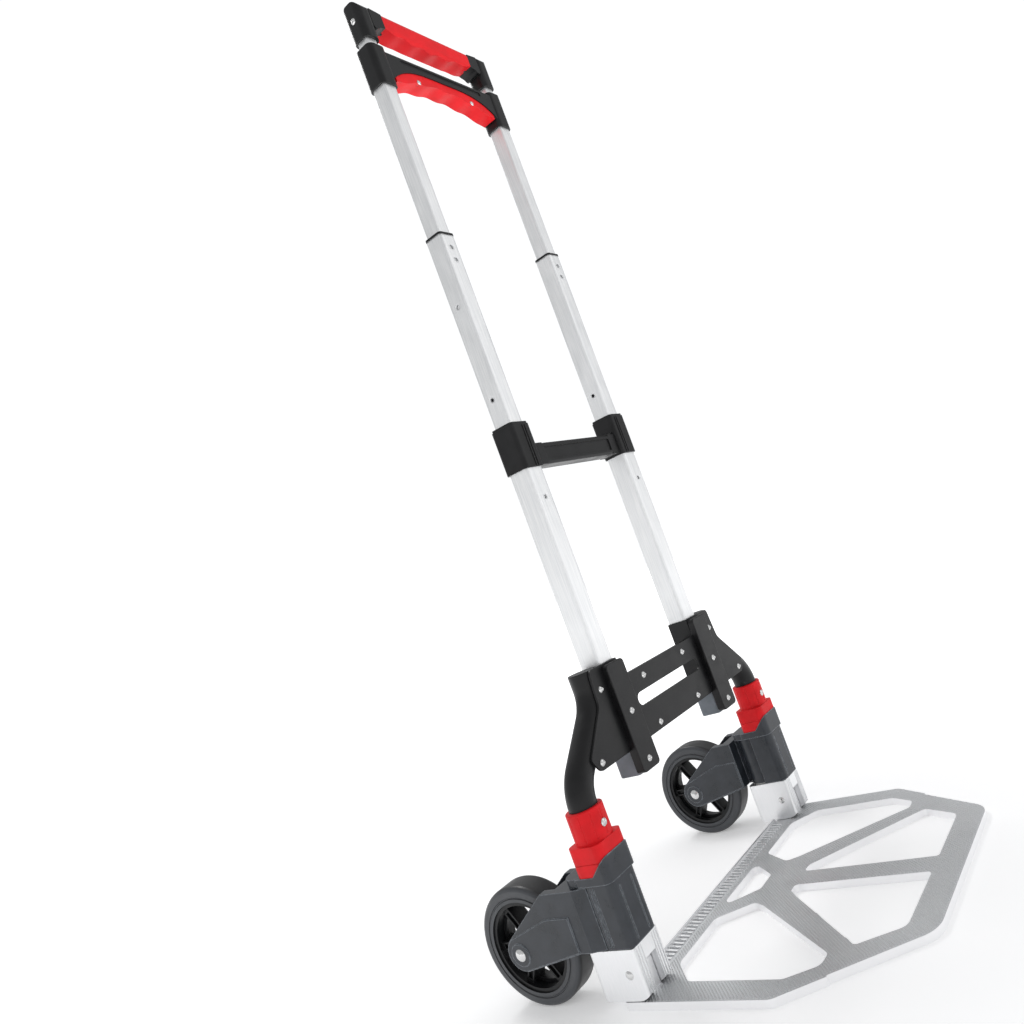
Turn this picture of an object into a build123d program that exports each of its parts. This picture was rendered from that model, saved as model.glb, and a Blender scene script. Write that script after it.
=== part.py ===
"""Folding two-wheel hand truck: toe plate, swing-in wheels and a telescoping handle.

Axes: X across the truck, Y from the toe plate (minus) to the wheels (plus), Z up,
floor at Z = 0.  Lengths are millimetres.  "Left" is the minus-X side.
"""
import math
import os

from build123d import *

os.makedirs("parts", exist_ok=True)

# --- telescoping rails ---------------------------------------------------
RAIL_X = 87.0
RAIL_Y = -11.0
OUTER_W, OUTER_D, OUTER_WALL, OUTER_R = 24.5, 27.0, 1.5, 4.0
MID_W, MID_D, MID_WALL, MID_R = 20.7, 23.2, 1.4, 3.4
INNER_W, INNER_D, INNER_WALL, INNER_R = 17.1, 19.6, 1.4, 2.8
ROD_W, ROD_D, ROD_WALL, ROD_R = 13.5, 16.0, 1.4, 2.4
PLUG_Z0, OUTER_Z0, OUTER_Z1 = 179.5, 206.0, 556.0
MID_LEN, MID_TOP = 360.0, 770.0
INNER_LEN, INNER_TOP = 340.0, 952.0
ROD_Z0, ROD_Z1 = 800.0, 1021.0

# --- handle ---------------------------------------------------------------
GRIP_LOW_Z0, GRIP_LOW_Z1 = 940.0, 984.5
GRIP_TOP_Z0, GRIP_TOP_Z1 = 994.0, 1034.0

# --- posts, wheels and arms ----------------------------------------------
POST_X = 174.5
POST_R, POST_WALL = 14.0, 2.0
PIVOT_Y, PIVOT_R = 11.0, 6.0
ARM_LEN = 99.0
WHEEL_R, WHEEL_W = 62.0, 28.0
TYRE_THICK = 15.0
AXLE_R = 4.0
ARM_Z0, ARM_Z1 = 58.3, 118.3
CHEEK_IN, CHEEK_OUT = 15.4, 24.0
BOSS_R = 18.0
HOUSING_Z0, HOUSING_Z1 = 57.5, 146.0
DECK_Z0 = 118.8
COLLAR_Z1 = 185.0

# --- toe plate --------------------------------------------------------------
PLATE_HALF, PLATE_LEN, PLATE_T, SKIN_T = 195.0, 284.0, 8.0, 2.8
PLATE_BACK = 6.0
HINGE_Y, HINGE_Z = -12.0, 33.0
PIN_R, LUG_R, LUG_W, SLOT_W = 3.0, 7.5, 14.2, 15.2

# --- bracket ----------------------------------------------------------------
SHEET = 2.5
PLATE_Y = RAIL_Y - OUTER_D / 2
STRAP_Y = -34.0
POST_Y = PLATE_Y + POST_R
RIVET_R, HEAD_R = 2.4, 3.6

# The whole truck is centred front to back on the origin.
SHIFT_Y = (PLATE_LEN - PLATE_BACK - PIVOT_Y - ARM_LEN - WHEEL_R) / 2


def save(part, name):
    """Writes one named piece, moved into the shared frame."""
    solids = [Pos(0, SHIFT_Y, 0) * s for s in part.solids()]
    shape = solids[0] if len(solids) == 1 else Compound(children=solids)
    export_step(shape, f"parts/{name}.step")
    box = shape.bounding_box()
    print(f"{name:26s} {len(solids):3d} solid(s)  z {box.min.Z:7.1f} to {box.max.Z:7.1f}")


def save_pair(part, name):
    """Writes a right-hand piece and its left-hand mirror."""
    save(part, name + "_right")
    save(mirror(part, about=Plane.YZ), name + "_left")


def both(part):
    """The piece together with its mirror across the centre plane."""
    return Compound(children=list(part.solids()) + list(mirror(part, about=Plane.YZ).solids()))


def block(x0, x1, y0, y1, z0, z1):
    return Pos((x0 + x1) / 2, (y0 + y1) / 2, (z0 + z1) / 2) * Box(x1 - x0, y1 - y0, z1 - z0)


def bar(w, d, r, z0, z1, x=0.0, y=0.0):
    """Upright bar of rounded rectangular section."""
    return Pos(x, y, z0) * extrude(RectangleRounded(w, d, r), z1 - z0)


def tube(w, d, wall, r, z0, z1, x=0.0, y=0.0):
    inner = bar(w - 2 * wall, d - 2 * wall, max(r - wall, 0.6), z0 - 1, z1 + 1, x, y)
    return bar(w, d, r, z0, z1, x, y) - inner


def disc(r, z0, z1, x=0.0, y=0.0):
    return Pos(x, y, (z0 + z1) / 2) * Cylinder(r, z1 - z0)


def along_x(r, x0, x1, y, z):
    return Pos((x0 + x1) / 2, y, z) * Rot(0, 90, 0) * Cylinder(r, x1 - x0)


def along_y(r, y0, y1, x, z):
    return Pos(x, (y0 + y1) / 2, z) * Rot(90, 0, 0) * Cylinder(r, y1 - y0)


def ring(outer, inner, z0, z1, x=0.0, y=0.0):
    return disc(outer, z0, z1, x, y) - disc(inner, z0 - 1, z1 + 1, x, y)


def corner_path(points):
    """Closed outline through (x, y, radius) corners, given in order."""
    edges = []
    n = len(points)
    marks = []
    for i in range(n):
        px, py, _ = points[i - 1]
        x, y, r = points[i]
        nx, ny, _ = points[(i + 1) % n]
        a = math.atan2(py - y, px - x)
        b = math.atan2(ny - y, nx - x)
        half = abs((b - a + math.pi) % (2 * math.pi) - math.pi) / 2
        t = r / math.tan(half)
        start = (x + t * math.cos(a), y + t * math.sin(a))
        end = (x + t * math.cos(b), y + t * math.sin(b))
        mid_angle = math.atan2(math.sin(a) + math.sin(b), math.cos(a) + math.cos(b))
        reach = r / math.sin(half) - r
        middle = (x + reach * math.cos(mid_angle), y + reach * math.sin(mid_angle))
        marks.append((start, middle, end))
    for i in range(n):
        start, middle, end = marks[i]
        edges.append(ThreePointArc(start, middle, end))
        edges.append(Line(end, marks[(i + 1) % n][0]))
    return make_face(edges)


def grow(points, d):
    """Corners of an anticlockwise outline moved outwards by d."""
    n = len(points)
    moved = []
    for i in range(n):
        px, py, _ = points[i - 1]
        x, y, r = points[i]
        nx, ny, _ = points[(i + 1) % n]
        l1 = math.hypot(x - px, y - py)
        l2 = math.hypot(nx - x, ny - y)
        n1 = ((y - py) / l1, -(x - px) / l1)
        n2 = ((ny - y) / l2, -(nx - x) / l2)
        k = 1 + n1[0] * n2[0] + n1[1] * n2[1]
        convex = (x - px) * (ny - y) - (y - py) * (nx - x) > 0
        radius = max(r + d if convex else r - d, 0.4)
        moved.append((x + d * (n1[0] + n2[0]) / k, y + d * (n1[1] + n2[1]) / k, radius))
    return moved


def mirrored(points):
    """The same outline on the other side, still anticlockwise."""
    return [(-x, y, r) for x, y, r in reversed(points)]


def dome(r, h):
    """Low domed head standing on Z = 0."""
    big = (r * r + h * h) / (2 * h)
    ball = Pos(0, 0, h - big) * Sphere(big)
    return ball & Pos(0, 0, h / 2) * Box(4 * r, 4 * r, h)


def rivet(head_r, head_h, shank_r, shank_len):
    """Head on Z = 0 with the shank pointing down."""
    return dome(head_r, head_h) + Pos(0, 0, -shank_len / 2) * Cylinder(shank_r, shank_len)


def rivet_hole(shank_r, x, z, y0, y1):
    return along_y(shank_r, y0, y1, x, z)


def half_profile(points, x0, x1):
    """Side-view outline (y, z) extruded across X from x0 to x1."""
    face = make_face(Polyline(*points, close=True))
    return Pos(x0, 0, 0) * extrude(Plane.YZ * face, x1 - x0)


def tangent_point(px, py, cx, cy, r, side):
    """Where the line from a point touches a circle; side is +1 or -1."""
    dx, dy = px - cx, py - cy
    d = math.hypot(dx, dy)
    a = math.atan2(dy, dx) + side * math.acos(r / d)
    return (cx + r * math.cos(a), cy + r * math.sin(a))


# ---------------------------------------------------------------------------
# Rails and telescoping tubes
# ---------------------------------------------------------------------------
STRAP_RIVETS = [(88.0, 243.0), (88.0, 192.0)]
PLATE_RIVETS = [(41.0, 214.0), (41.0, 267.0)]
WING_RIVETS = [(113.0, 276.0), (147.0, 214.0)]

outer_rail = tube(OUTER_W, OUTER_D, OUTER_WALL, OUTER_R, OUTER_Z0, OUTER_Z1, RAIL_X, RAIL_Y)
for x, z in STRAP_RIVETS:
    outer_rail -= rivet_hole(RIVET_R, x, z, PLATE_Y - 2, PLATE_Y + 4)
outer_rail -= rivet_hole(2.0, RAIL_X, 478.0, PLATE_Y - 2, PLATE_Y + 4)
save_pair(outer_rail, "outer_rail")

plug = bar(OUTER_W, OUTER_D, OUTER_R, PLUG_Z0, OUTER_Z0, RAIL_X, RAIL_Y)
plug = fillet(plug.faces().sort_by(Axis.Z)[0].edges(), 2.0)
plug -= bar(OUTER_W - 2 * OUTER_WALL, OUTER_D - 2 * OUTER_WALL, 2.5, PLUG_Z0 + 6, OUTER_Z0 + 1, RAIL_X, RAIL_Y)
plug -= bar(14, 16, 2, PLUG_Z0 - 1, PLUG_Z0 + 3, RAIL_X, RAIL_Y)
for x, z in STRAP_RIVETS:
    plug -= rivet_hole(RIVET_R, x, z, PLATE_Y - 2, PLATE_Y + 4)
save_pair(plug, "rail_plug")

mid_z0 = MID_TOP - MID_LEN
mid_tube = tube(MID_W, MID_D, MID_WALL, MID_R, mid_z0, MID_TOP, RAIL_X, RAIL_Y)
for z in (MID_TOP - 14, MID_TOP - 28):
    mid_tube -= rivet_hole(2.2, RAIL_X, z, RAIL_Y - MID_D / 2 - 2, RAIL_Y - MID_D / 2 + 4)
mid_tube -= along_x(2.2, RAIL_X - 20, RAIL_X + 20, RAIL_Y, 590.0)
mid_tube -= along_x(2.2, RAIL_X, RAIL_X + 20, RAIL_Y, MID_TOP - 77)
save_pair(mid_tube, "mid_tube")

throat = bar(MID_W + 0.8, MID_D + 0.8, MID_R + 0.4, MID_TOP, MID_TOP + 2.2, RAIL_X, RAIL_Y)
throat -= bar(INNER_W + 0.16, INNER_D + 0.16, INNER_R, MID_TOP - 1, MID_TOP + 4, RAIL_X, RAIL_Y)
save_pair(throat, "mid_bush")

shoe = bar(OUTER_W - 2 * OUTER_WALL - 0.16, OUTER_D - 2 * OUTER_WALL - 0.16, 2.4,
           mid_z0 - 10, mid_z0, RAIL_X, RAIL_Y)
shoe += bar(MID_W - 2 * MID_WALL, MID_D - 2 * MID_WALL, 2.0, mid_z0, mid_z0 + 6, RAIL_X, RAIL_Y)
shoe -= bar(12, 15, 2, mid_z0 - 11, mid_z0 + 7, RAIL_X, RAIL_Y)
save(both(shoe), "mid_guide_shoes")

inner_z0 = INNER_TOP - INNER_LEN
inner_tube = tube(INNER_W, INNER_D, INNER_WALL, INNER_R, inner_z0, INNER_TOP, RAIL_X, RAIL_Y)
save_pair(inner_tube, "inner_tube")

shoe = bar(MID_W - 2 * MID_WALL - 0.16, MID_D - 2 * MID_WALL - 0.16, 2.0,
           inner_z0 - 9, inner_z0, RAIL_X, RAIL_Y)
shoe += bar(INNER_W - 2 * INNER_WALL, INNER_D - 2 * INNER_WALL, 1.4, inner_z0, inner_z0 + 5, RAIL_X, RAIL_Y)
shoe -= disc(3.6, inner_z0 - 10, inner_z0 + 6, RAIL_X, RAIL_Y)
save(both(shoe), "inner_guide_shoes")

rod = tube(ROD_W, ROD_D, ROD_WALL, ROD_R, ROD_Z0, ROD_Z1, RAIL_X, RAIL_Y)
rod -= along_x(1.8, RAIL_X, RAIL_X + 20, RAIL_Y, GRIP_TOP_Z1 - 19)
save_pair(rod, "handle_rod")

# Release wires hang from the handle rods; return springs rest on seats below them.
RELEASE_Z0 = inner_z0 - 4
foot = bar(ROD_W - 2 * ROD_WALL, ROD_D - 2 * ROD_WALL, 1.4, ROD_Z0, ROD_Z0 + 6, RAIL_X, RAIL_Y)
release = foot + disc(2.5, RELEASE_Z0, ROD_Z0 + 3, RAIL_X, RAIL_Y)
save(both(release), "release_rods")

seat = bar(INNER_W - 2 * INNER_WALL, INNER_D - 2 * INNER_WALL, 1.4, ROD_Z0 - 38, ROD_Z0 - 32, RAIL_X, RAIL_Y)
seat -= disc(2.9, ROD_Z0 - 39, ROD_Z0 - 31, RAIL_X, RAIL_Y)
save(both(seat), "spring_seats")

SPRING_TURNS, SPRING_WIRE_R, SPRING_R = 8, 0.8, 5.0
SPRING_H = 22.0
coil = Helix(pitch=SPRING_H / SPRING_TURNS, height=SPRING_H, radius=SPRING_R)
wire = Plane(coil @ 0, z_dir=coil % 0) * Circle(SPRING_WIRE_R)
spring = Pos(RAIL_X, RAIL_Y, ROD_Z0 - 32 + SPRING_WIRE_R + 0.05) * sweep(wire, path=coil)
save(both(spring), "return_springs")

# ---------------------------------------------------------------------------
# Lower crossbar: a moulding clamped round the tops of the outer rails
# ---------------------------------------------------------------------------
XB_Z0, XB_Z1 = 510.5, 558.0
XB_W, XB_D = 28.5, 31.0


def crossbar_block():
    body = bar(XB_W, XB_D, 4.5, XB_Z0, XB_Z1, RAIL_X, RAIL_Y)
    body += bar(XB_W - 1.6, XB_D - 1.6, 4.2, XB_Z1, XB_Z1 + 2.4, RAIL_X, RAIL_Y)
    for dx in (-5.5, -2.0):
        body += block(RAIL_X + dx - 0.7, RAIL_X + dx + 0.7,
                      RAIL_Y - XB_D / 2 - 0.8, RAIL_Y - XB_D / 2 + 1, XB_Z0 + 1.5, XB_Z1 - 1.5)
    body += block(60, RAIL_X - XB_W / 2 + 3, RAIL_Y - 11, RAIL_Y + 11, XB_Z0 + 2, XB_Z0 + 26)
    return body


web = Pos(0, RAIL_Y, XB_Z0 + 14) * Box(2 * (RAIL_X - 12), 22, 24)
web = fillet(web.edges().filter_by(Axis.X), 3.0)
web -= Pos(0, RAIL_Y - 11, XB_Z0 + 14) * Box(118, 3, 14)
crossbar = web
for sx in (1, -1):
    piece = crossbar_block()
    gusset = block(66, 74, RAIL_Y - 9, RAIL_Y + 9, XB_Z0 + 24, XB_Z0 + 34)
    gusset -= Pos(66, RAIL_Y, XB_Z0 + 34) * Rot(90, 0, 0) * Cylinder(8, 30)
    piece += gusset
    crossbar += piece if sx == 1 else mirror(piece, about=Plane.YZ)
hollow = bar(OUTER_W, OUTER_D, OUTER_R, XB_Z0 - 1, OUTER_Z1, RAIL_X, RAIL_Y)
hollow += bar(MID_W + 0.16, MID_D + 0.16, MID_R, XB_Z0, XB_Z1 + 4, RAIL_X, RAIL_Y)
crossbar -= both(hollow)
save(crossbar, "lower_crossbar")

# ---------------------------------------------------------------------------
# Pressed bracket: front plate, back channel, straps and rivets
# ---------------------------------------------------------------------------
SLOT_Z, SLOT_HALF, SLOT_R = 246.0, 64.0, 7.0
SHEET_FOLD = 1.6
CHEEK_X = RAIL_X - OUTER_W / 2 - SHEET_FOLD - 0.08
slot = Pos(0, 0, SLOT_Z) * Rot(90, 0, 0) * extrude(SlotOverall(2 * SLOT_HALF, 2 * SLOT_R), 60, both=True)

right_edge = [(0, 207, 0.4), (152, 207, 6), (161, 221, 6), (124, 262, 14), (121, 298, 5), (75, 298, 3),
              (73, 277, 4), (0, 277, 0.4)]
half = corner_path(right_edge)
front = Pos(0, PLATE_Y, 0) * Rot(90, 0, 0) * extrude(half, SHEET)
front += mirror(front, about=Plane.YZ)
front -= slot
# a flange folded back beside each rail's inboard face
front += both(block(CHEEK_X, CHEEK_X + SHEET_FOLD, PLATE_Y - 1, PLATE_Y + 26, 207.5, 297.5))
for x, z in STRAP_RIVETS + PLATE_RIVETS + WING_RIVETS:
    hole = rivet_hole(RIVET_R, x, z, PLATE_Y - 5, PLATE_Y + 1)
    front -= hole
    front -= mirror(hole, about=Plane.YZ)
save(front, "bracket_plate")

back = block(-CHEEK_X, CHEEK_X, PLATE_Y, PLATE_Y + 2, 207.5, 275)
back += block(-CHEEK_X, CHEEK_X, PLATE_Y, PLATE_Y + 14, 207.5, 209.5)
back += block(-CHEEK_X, CHEEK_X, PLATE_Y, PLATE_Y + 14, 273, 275)
back -= Pos(0, 0, SLOT_Z) * Rot(90, 0, 0) * extrude(SlotOverall(2 * SLOT_HALF + 6, 2 * SLOT_R + 6), 60, both=True)
for x, z in PLATE_RIVETS:
    hole = rivet_hole(RIVET_R, x, z, PLATE_Y - 1, PLATE_Y + 4)
    back -= hole
    back -= mirror(hole, about=Plane.YZ)
save(back, "bracket_back_channel")

STRAP_W, STRAP_Z0, STRAP_Z1 = 29.6, 181.5, 296.0
strap_face = Pos(RAIL_X + 0.8, (STRAP_Z0 + STRAP_Z1) / 2) * RectangleRounded(STRAP_W, STRAP_Z1 - STRAP_Z0, 4.5)
strap = Pos(0, PLATE_Y, 0) * Rot(90, 0, 0) * extrude(strap_face, PLATE_Y - STRAP_Y)
inner_face = Pos(RAIL_X + 0.8, (STRAP_Z0 + STRAP_Z1) / 2) * RectangleRounded(
    STRAP_W - 2 * SHEET, STRAP_Z1 - STRAP_Z0 - 2 * SHEET, 2.5)
strap -= Pos(0, PLATE_Y + 0.01, 0) * Rot(90, 0, 0) * extrude(inner_face, PLATE_Y - STRAP_Y - SHEET)
strap -= block(60, 120, PLATE_Y - SHEET, PLATE_Y + 1, 207, 301)
for x, z in STRAP_RIVETS:
    strap -= rivet_hole(RIVET_R, x, z, STRAP_Y - 1, PLATE_Y)
strap = fillet(strap.faces().sort_by(Axis.Y)[0].edges().sort_by(SortBy.LENGTH)[-4:], 1.0)
save_pair(strap, "rail_strap")

long_rivet = rivet(HEAD_R, 1.7, RIVET_R, PLATE_Y + 1.5 - STRAP_Y)
heads = [Pos(x, STRAP_Y, z) * Rot(90, 0, 0) * long_rivet for x, z in STRAP_RIVETS]
save(both(Compound(children=heads)), "strap_rivets")

short_rivet = rivet(HEAD_R, 1.7, RIVET_R, SHEET + 2)
short_rivet += Pos(0, 0, -SHEET - 2) * Rot(180, 0, 0) * dome(3.8, 1.4)
heads = [Pos(x, PLATE_Y - SHEET, z) * Rot(90, 0, 0) * short_rivet for x, z in PLATE_RIVETS]
save(both(Compound(children=heads)), "bracket_rivets")

wing_rivet = rivet(HEAD_R, 1.7, RIVET_R, SHEET)
wing_tail = wing_rivet + Pos(0, 0, -SHEET) * Rot(180, 0, 0) * dome(3.8, 1.4)
upper = Pos(WING_RIVETS[0][0], PLATE_Y - SHEET, WING_RIVETS[0][1]) * Rot(90, 0, 0) * rivet(HEAD_R, 1.7, RIVET_R, SHEET)
lower = Pos(WING_RIVETS[1][0], PLATE_Y - SHEET, WING_RIVETS[1][1]) * Rot(90, 0, 0) * wing_tail
save(both(Compound(children=[upper, lower])), "wing_rivets")

# ---------------------------------------------------------------------------
# Bent side tubes that carry the wheel housings
# ---------------------------------------------------------------------------
TUBE_TOP_X = 114.0
TUBE_Z1, BEND_Z1, BEND_Z0, TUBE_Z0 = 296.0, 263.5, 203.0, 121.0
path = FilletPolyline(
    (TUBE_TOP_X, POST_Y, TUBE_Z1),
    (TUBE_TOP_X, POST_Y, BEND_Z1),
    (POST_X, POST_Y, BEND_Z0),
    (POST_X, POST_Y, TUBE_Z0),
    radius=43.0,
)
section = Plane(path @ 0, z_dir=path % 0)
side_tube = sweep(section * (Circle(POST_R) - Circle(POST_R - POST_WALL)), path=path)
save_pair(side_tube, "side_tube")

cap = disc(POST_R - POST_WALL, TUBE_Z1 - 8, TUBE_Z1, TUBE_TOP_X, POST_Y)
cap += disc(POST_R, TUBE_Z1, TUBE_Z1 + 2, TUBE_TOP_X, POST_Y)
save(both(cap), "tube_caps")

# ---------------------------------------------------------------------------
# Housings, collars and foot blocks (right-hand side, local to the post)
# ---------------------------------------------------------------------------
HALF, FRONT, SEAM, REAR = 20.0, -28.5, 2.0, 29.5
SPLIT = [(REAR + 3, 90), (REAR + 3, 127), (-12, 127), (FRONT - 5, HOUSING_Z1), (FRONT - 5, 90)]


def at_post(part):
    return Pos(POST_X, 0, 0) * part


def soft_block(y0, y1, z0, z1, front_r, rear_r, spread=0.0):
    """Upright block about the post with its own corner radii front and rear."""
    h = HALF + spread
    face = corner_path([(-h, y0 - spread, front_r), (h, y0 - spread, front_r), (h, y1 + spread, rear_r),
                        (-h, y1 + spread, rear_r)])
    return Pos(0, 0, z0) * extrude(face, z1 - z0)


COLLAR_R = 18.2
wedge = half_profile(SPLIT, -40, 40)
lip = soft_block(FRONT, 14, DECK_Z0, HOUSING_Z1, 7, 7, 1.4) & wedge
housing = soft_block(FRONT, SEAM, HOUSING_Z0, DECK_Z0 + 1, 8, 1.0)
housing += soft_block(FRONT, REAR, DECK_Z0, 127, 8, 12)
housing += lip
housing -= disc(POST_R, TUBE_Z0, COLLAR_Z1, 0, POST_Y)
housing -= disc(18.3, HOUSING_Z0 - 1, DECK_Z0, 0, PIVOT_Y)
housing -= disc(PIVOT_R, DECK_Z0 - 2, 124, 0, PIVOT_Y)
housing -= block(-11, 11, -25, -12, HOUSING_Z0 - 1, 112)
for y in (-6.0, -2.5):
    housing -= block(HALF - 0.7, HALF + 3, y - 0.6, y + 0.6, 61, 116)
for x in (-9.0, 9.0):
    housing -= block(x - 0.7, x + 0.7, FRONT - 1, FRONT + 0.7, 61, 112)
save_pair(at_post(housing), "wheel_housing")

collar = soft_block(FRONT, 9, 120, 155, 8, 9, 0.8) - wedge
collar += disc(COLLAR_R, 150, COLLAR_Z1, 0, POST_Y)
collar = fillet(collar.faces().sort_by(Axis.Z)[-1].edges(), 1.2)
collar -= soft_block(FRONT, 9, 138.6, 139.8, 8, 9, 3) - soft_block(FRONT, 9, 138, 141, 8, 9, 0.2)
for k in range(10):
    flute = disc(1.3, 157.5, COLLAR_Z1 - 2.5, 0, COLLAR_R + 0.75)
    collar -= Pos(0, POST_Y, 0) * Rot(0, 0, 36 * k) * flute
collar -= disc(POST_R, 110, COLLAR_Z1 + 1, 0, POST_Y)
SCREW_Z = 168.0
collar -= along_y(2.0, POST_Y - 25, POST_Y - POST_R + 1, 0, SCREW_Z)
save_pair(at_post(collar), "collar")

screw = dome(4.0, 1.6) + Pos(0, 0, -2.0) * Cylinder(2.0, 4.0)
screw -= Pos(0, 0, 1.4) * (Box(5, 0.9, 1.2) + Box(0.9, 5, 1.2))
collar_screw = Pos(POST_X, POST_Y - COLLAR_R - 0.02, SCREW_Z) * Rot(90, 0, 0) * screw
save(both(collar_screw), "collar_screws")

washer = at_post(ring(16.5, PIVOT_R, 57.0, 57.9, 0, PIVOT_Y))
save(both(washer), "thrust_washers")

pivot_pin = at_post(disc(PIVOT_R, 44, 124, 0, PIVOT_Y))
save(both(pivot_pin), "pivot_pins")

FOOT_FRONT, FOOT_REAR, FOOT_Z0, FOOT_Z1 = -27.0, 29.0, 8.4, 57.0
foot_block = soft_block(FOOT_FRONT, FOOT_REAR, FOOT_Z0, FOOT_Z1, 3, 5)
foot_block += block(-11, 11, -25, -12, FOOT_Z1 - 1, 112)
nose = along_x(24.6, -30, 30, HINGE_Y, HINGE_Z)
foot_block -= block(-30, 30, FOOT_FRONT - 2, HINGE_Y, 0, HINGE_Z - 18) - nose
foot_block -= block(-SLOT_W / 2, SLOT_W / 2, FOOT_FRONT - 2, HINGE_Y + 8, 0, HINGE_Z + 8.2)
foot_block -= along_x(PIN_R, -25, 25, HINGE_Y, HINGE_Z)
foot_block -= disc(PIVOT_R, 44, 60, 0, PIVOT_Y)
for x in (-16.0, -12.6, -9.2, 9.2, 12.6, 16.0):
    foot_block -= block(x - 0.9, x + 0.9, FOOT_FRONT - 1, FOOT_FRONT + 1.0, 12, 55.5)
save_pair(at_post(foot_block), "foot_block")

hinge_pin = along_x(PIN_R, -20.0, 20.0, HINGE_Y, HINGE_Z)
hinge_pin += Pos(20.0, HINGE_Y, HINGE_Z) * Rot(0, 90, 0) * dome(4.4, 1.5)
hinge_pin += Pos(-20.0, HINGE_Y, HINGE_Z) * Rot(0, -90, 0) * dome(4.4, 1.5)
save(both(at_post(hinge_pin)), "hinge_pins")

# ---------------------------------------------------------------------------
# Wheel arms
# ---------------------------------------------------------------------------
AX_Y, AX_Z = PIVOT_Y + ARM_LEN, WHEEL_R


def cheek_outline(back, top, run, low, r):
    """Fork cheek: square root, sloping top, round boss at the axle."""
    t1 = tangent_point(back + run, top, AX_Y, AX_Z, r, -1)
    t2 = tangent_point(back, low, AX_Y, AX_Z, r, 1)
    tip = (AX_Y + r, AX_Z)
    edges = [
        Line((back, low), (back, top)),
        Line((back, top), (back + run, top)),
        Line((back + run, top), t1),
        ThreePointArc(t1, tip, t2),
        Line(t2, (back, low)),
    ]
    return make_face(edges)


ROOT = PIVOT_Y + 20.7
# the neck is narrow on the inboard side, where the housing's corner passes as the arm folds
NECK_IN = 8.4
cheek = extrude(Plane.YZ * cheek_outline(ROOT, ARM_Z1, 28, ARM_Z0, BOSS_R), CHEEK_OUT - CHEEK_IN)
pad = extrude(Plane.YZ * cheek_outline(ROOT + 1.5, 94, 30, ARM_Z0 + 1.5, BOSS_R - 1.2), 1.4)
boss = along_x(11.5, CHEEK_OUT, CHEEK_OUT + 2.4, AX_Y, AX_Z)
arm = Pos(CHEEK_IN, 0, 0) * cheek + Pos(CHEEK_OUT, 0, 0) * pad + boss
arm += mirror(arm, about=Plane.YZ)
root = block(-CHEEK_OUT, CHEEK_OUT, ROOT, PIVOT_Y + 34.5, ARM_Z0, ARM_Z1)
arm += root
neck = make_face(Polyline((-NECK_IN, PIVOT_Y), (0, SEAM + 0.6), (HALF, SEAM + 0.6), (CHEEK_OUT, PIVOT_Y + 8),
                          (CHEEK_OUT, ROOT + 1), (-NECK_IN, ROOT + 1), (-NECK_IN, PIVOT_Y)))
arm += Pos(0, 0, ARM_Z0) * extrude(neck, ARM_Z1 - ARM_Z0)
arm += disc(17.4, ARM_Z0, ARM_Z1, 0, PIVOT_Y)
arm -= disc(PIVOT_R + 0.06, ARM_Z0 - 1, ARM_Z1 + 1, 0, PIVOT_Y)
arm -= along_x(AXLE_R, -40, 40, AX_Y, AX_Z)
arm -= block(-11, 11, PIVOT_Y + 24, PIVOT_Y + 36, ARM_Z0 - 1, ARM_Z1 - 5)
save_pair(at_post(arm), "wheel_arm")

BOSS_X = CHEEK_OUT + 2.4
bolt = along_x(AXLE_R, -BOSS_X, BOSS_X, AX_Y, AX_Z)
bolt += Pos(BOSS_X, AX_Y, AX_Z) * Rot(0, 90, 0) * dome(6.5, 2.4)
bolt += Pos(-BOSS_X, AX_Y, AX_Z) * Rot(0, -90, 0) * dome(6.5, 2.4)
save_pair(at_post(bolt), "axle_bolt")

# ---------------------------------------------------------------------------
# Wheels
# ---------------------------------------------------------------------------
RIM_R = WHEEL_R - TYRE_THICK


def wheel_at_axle(part):
    """Turns a piece made about Z into the wheel's own place."""
    return Pos(POST_X, AX_Y, AX_Z) * Rot(0, 90, 0) * part


tyre = ring(WHEEL_R, RIM_R, -WHEEL_W / 2, WHEEL_W / 2)
outer_edges = tyre.edges().filter_by(GeomType.CIRCLE).sort_by(SortBy.RADIUS)[-2:]
tyre = fillet(outer_edges, 5.0)
for s in (-1, 1):
    face_z = s * WHEEL_W / 2
    tyre -= Pos(0, 0, face_z) * Torus(RIM_R + 4.5, 1.0)
save_pair(wheel_at_axle(tyre), "tyre")

HUB_R, HUB_BORE = 16.0, 7.0
rim = ring(RIM_R, RIM_R - 4, -12.5, 12.5)
rim += ring(RIM_R - 3, HUB_R - 2, -1.6, 1.6) - ring(RIM_R - 7, HUB_R + 1, -3, 3)
rim += ring(HUB_R, HUB_BORE, -WHEEL_W / 2, WHEEL_W / 2)
for k in range(6):
    spoke = block(HUB_R - 1, RIM_R - 2, -4.2, 4.2, -8.5, 8.5)
    spoke -= block(HUB_R + 4, RIM_R - 7, -2.4, 2.4, 5.5, 10)
    spoke -= block(HUB_R + 4, RIM_R - 7, -2.4, 2.4, -10, -5.5)
    rim += Rot(0, 0, 60 * k + 30) * spoke
save_pair(wheel_at_axle(rim), "rim")

bush = ring(HUB_BORE, AXLE_R + 0.06, -WHEEL_W / 2, WHEEL_W / 2)
bush += ring(HUB_BORE + 3, AXLE_R + 0.06, WHEEL_W / 2, WHEEL_W / 2 + 0.9)
bush += ring(HUB_BORE + 3, AXLE_R + 0.06, -WHEEL_W / 2 - 0.9, -WHEEL_W / 2)
save_pair(wheel_at_axle(bush), "hub_bush")

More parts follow.
